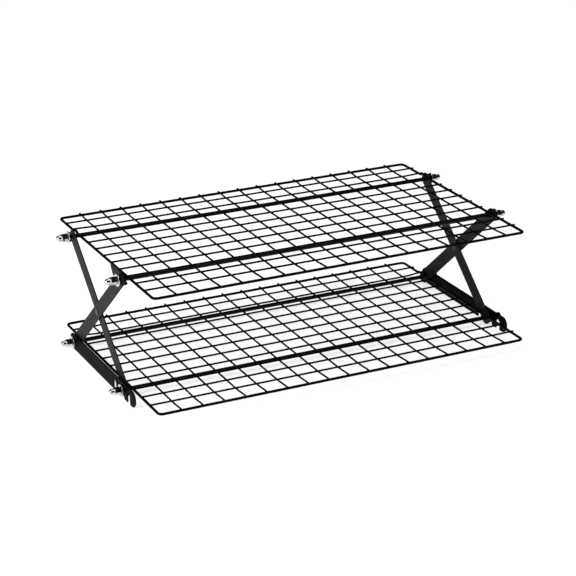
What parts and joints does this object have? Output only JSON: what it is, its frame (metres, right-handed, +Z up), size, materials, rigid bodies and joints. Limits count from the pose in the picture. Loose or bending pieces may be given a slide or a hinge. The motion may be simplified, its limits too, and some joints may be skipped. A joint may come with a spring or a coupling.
{
  "type": "cooling rack",
  "caption": "Folding wire cooling rack with stacked shelves on crossed flat legs, held open by notched lock struts and closed with acorn nuts.",
  "frame": {"origin": "on the ground under the middle of the open rack's bounding box", "axes": "+X along the shelves, towards the right end; +Y to the back, where the fixed rods are; +Z up"},
  "size_m": [0.5054, 0.2942, 0.146],
  "materials": {
    "shelf_wire": "black powder coat, satin",
    "rod": "black powder coat, satin",
    "leg_bar": "black powder coat, satin, fine texture",
    "strut_bar": "black powder coat, satin, fine texture",
    "rivet": "black powder coat, satin",
    "hook": "black powder coat, satin",
    "spacer": "black, satin",
    "nut_chrome": "bright chrome plate",
    "washer_chrome": "bright chrome plate"
  },
  "bodies": {
    "base": {"lower_wire_shelf": "shelf_wire", "lower_back_rod": "rod", "left_lower_back_nut": "nut_chrome", "left_lower_back_washer": "washer_chrome", "left_lower_back_inner_spacer": "spacer", "left_lower_back_thin_washer": "spacer", "right_lower_back_nut": "nut_chrome", "right_lower_back_washer": "washer_chrome", "right_lower_back_inner_spacer": "spacer", "right_lower_back_thin_washer": "spacer"},
    "outer_legs": {"left_outer_leg": "leg_bar", "right_outer_leg": "leg_bar", "left_pivot_rivet": "rivet", "right_pivot_rivet": "rivet", "upper_front_rod": "rod", "left_upper_front_nut": "nut_chrome", "left_upper_front_washer": "washer_chrome", "left_upper_front_inner_spacer": "spacer", "left_upper_front_outer_spacer": "spacer", "right_upper_front_nut": "nut_chrome", "right_upper_front_washer": "washer_chrome", "right_upper_front_inner_spacer": "spacer", "right_upper_front_outer_spacer": "spacer"},
    "inner_legs": {"left_inner_leg": "leg_bar", "right_inner_leg": "leg_bar", "lower_front_rod": "rod", "left_lower_front_nut": "nut_chrome", "left_lower_front_washer": "washer_chrome", "left_lower_front_outer_spacer": "spacer", "right_lower_front_nut": "nut_chrome", "right_lower_front_washer": "washer_chrome", "right_lower_front_outer_spacer": "spacer"},
    "upper_tier": {"upper_wire_shelf": "shelf_wire", "upper_back_rod": "rod", "front_rod_hook": "hook", "left_upper_back_nut": "nut_chrome", "left_upper_back_washer": "washer_chrome", "left_upper_back_outer_spacer": "spacer", "right_upper_back_nut": "nut_chrome", "right_upper_back_washer": "washer_chrome", "right_upper_back_outer_spacer": "spacer"},
    "left_strut": {"left_lock_strut": "strut_bar"},
    "right_strut": {"right_lock_strut": "strut_bar"}
  },
  "joints": [
    {"name": "fold", "type": "hinge", "parent": "base", "child": "outer_legs", "pos_m": [0, 0.092, 0.008], "axis": [1, 0, 0], "range_deg": [0, 33]},
    {"name": "scissor", "type": "hinge", "parent": "outer_legs", "child": "inner_legs", "pos_m": [0, 0.017, 0.073], "axis": [1, 0, 0], "range_deg": [-66.5, 0]},
    {"name": "upper_tier_level", "type": "hinge", "parent": "inner_legs", "child": "upper_tier", "pos_m": [0, 0.092, 0.138], "axis": [1, 0, 0], "range_deg": [0, 33.5]},
    {"name": "left_strut_lift", "type": "hinge", "parent": "base", "child": "left_strut", "pos_m": [0, 0.092, 0.008], "axis": [-1, 0, 0], "range_deg": [0, 50]},
    {"name": "right_strut_lift", "type": "hinge", "parent": "base", "child": "right_strut", "pos_m": [0, 0.092, 0.008], "axis": [-1, 0, 0], "range_deg": [0, 50]}
  ],
  "couplings": [
    {"joint": "scissor", "follows": "fold", "ratio": -2},
    {"joint": "upper_tier_level", "follows": "fold", "ratio": 1},
    {"joint": "left_strut_lift", "follows": "fold", "ratio": 1.5},
    {"joint": "right_strut_lift", "follows": "fold", "ratio": 1.5}
  ]
}
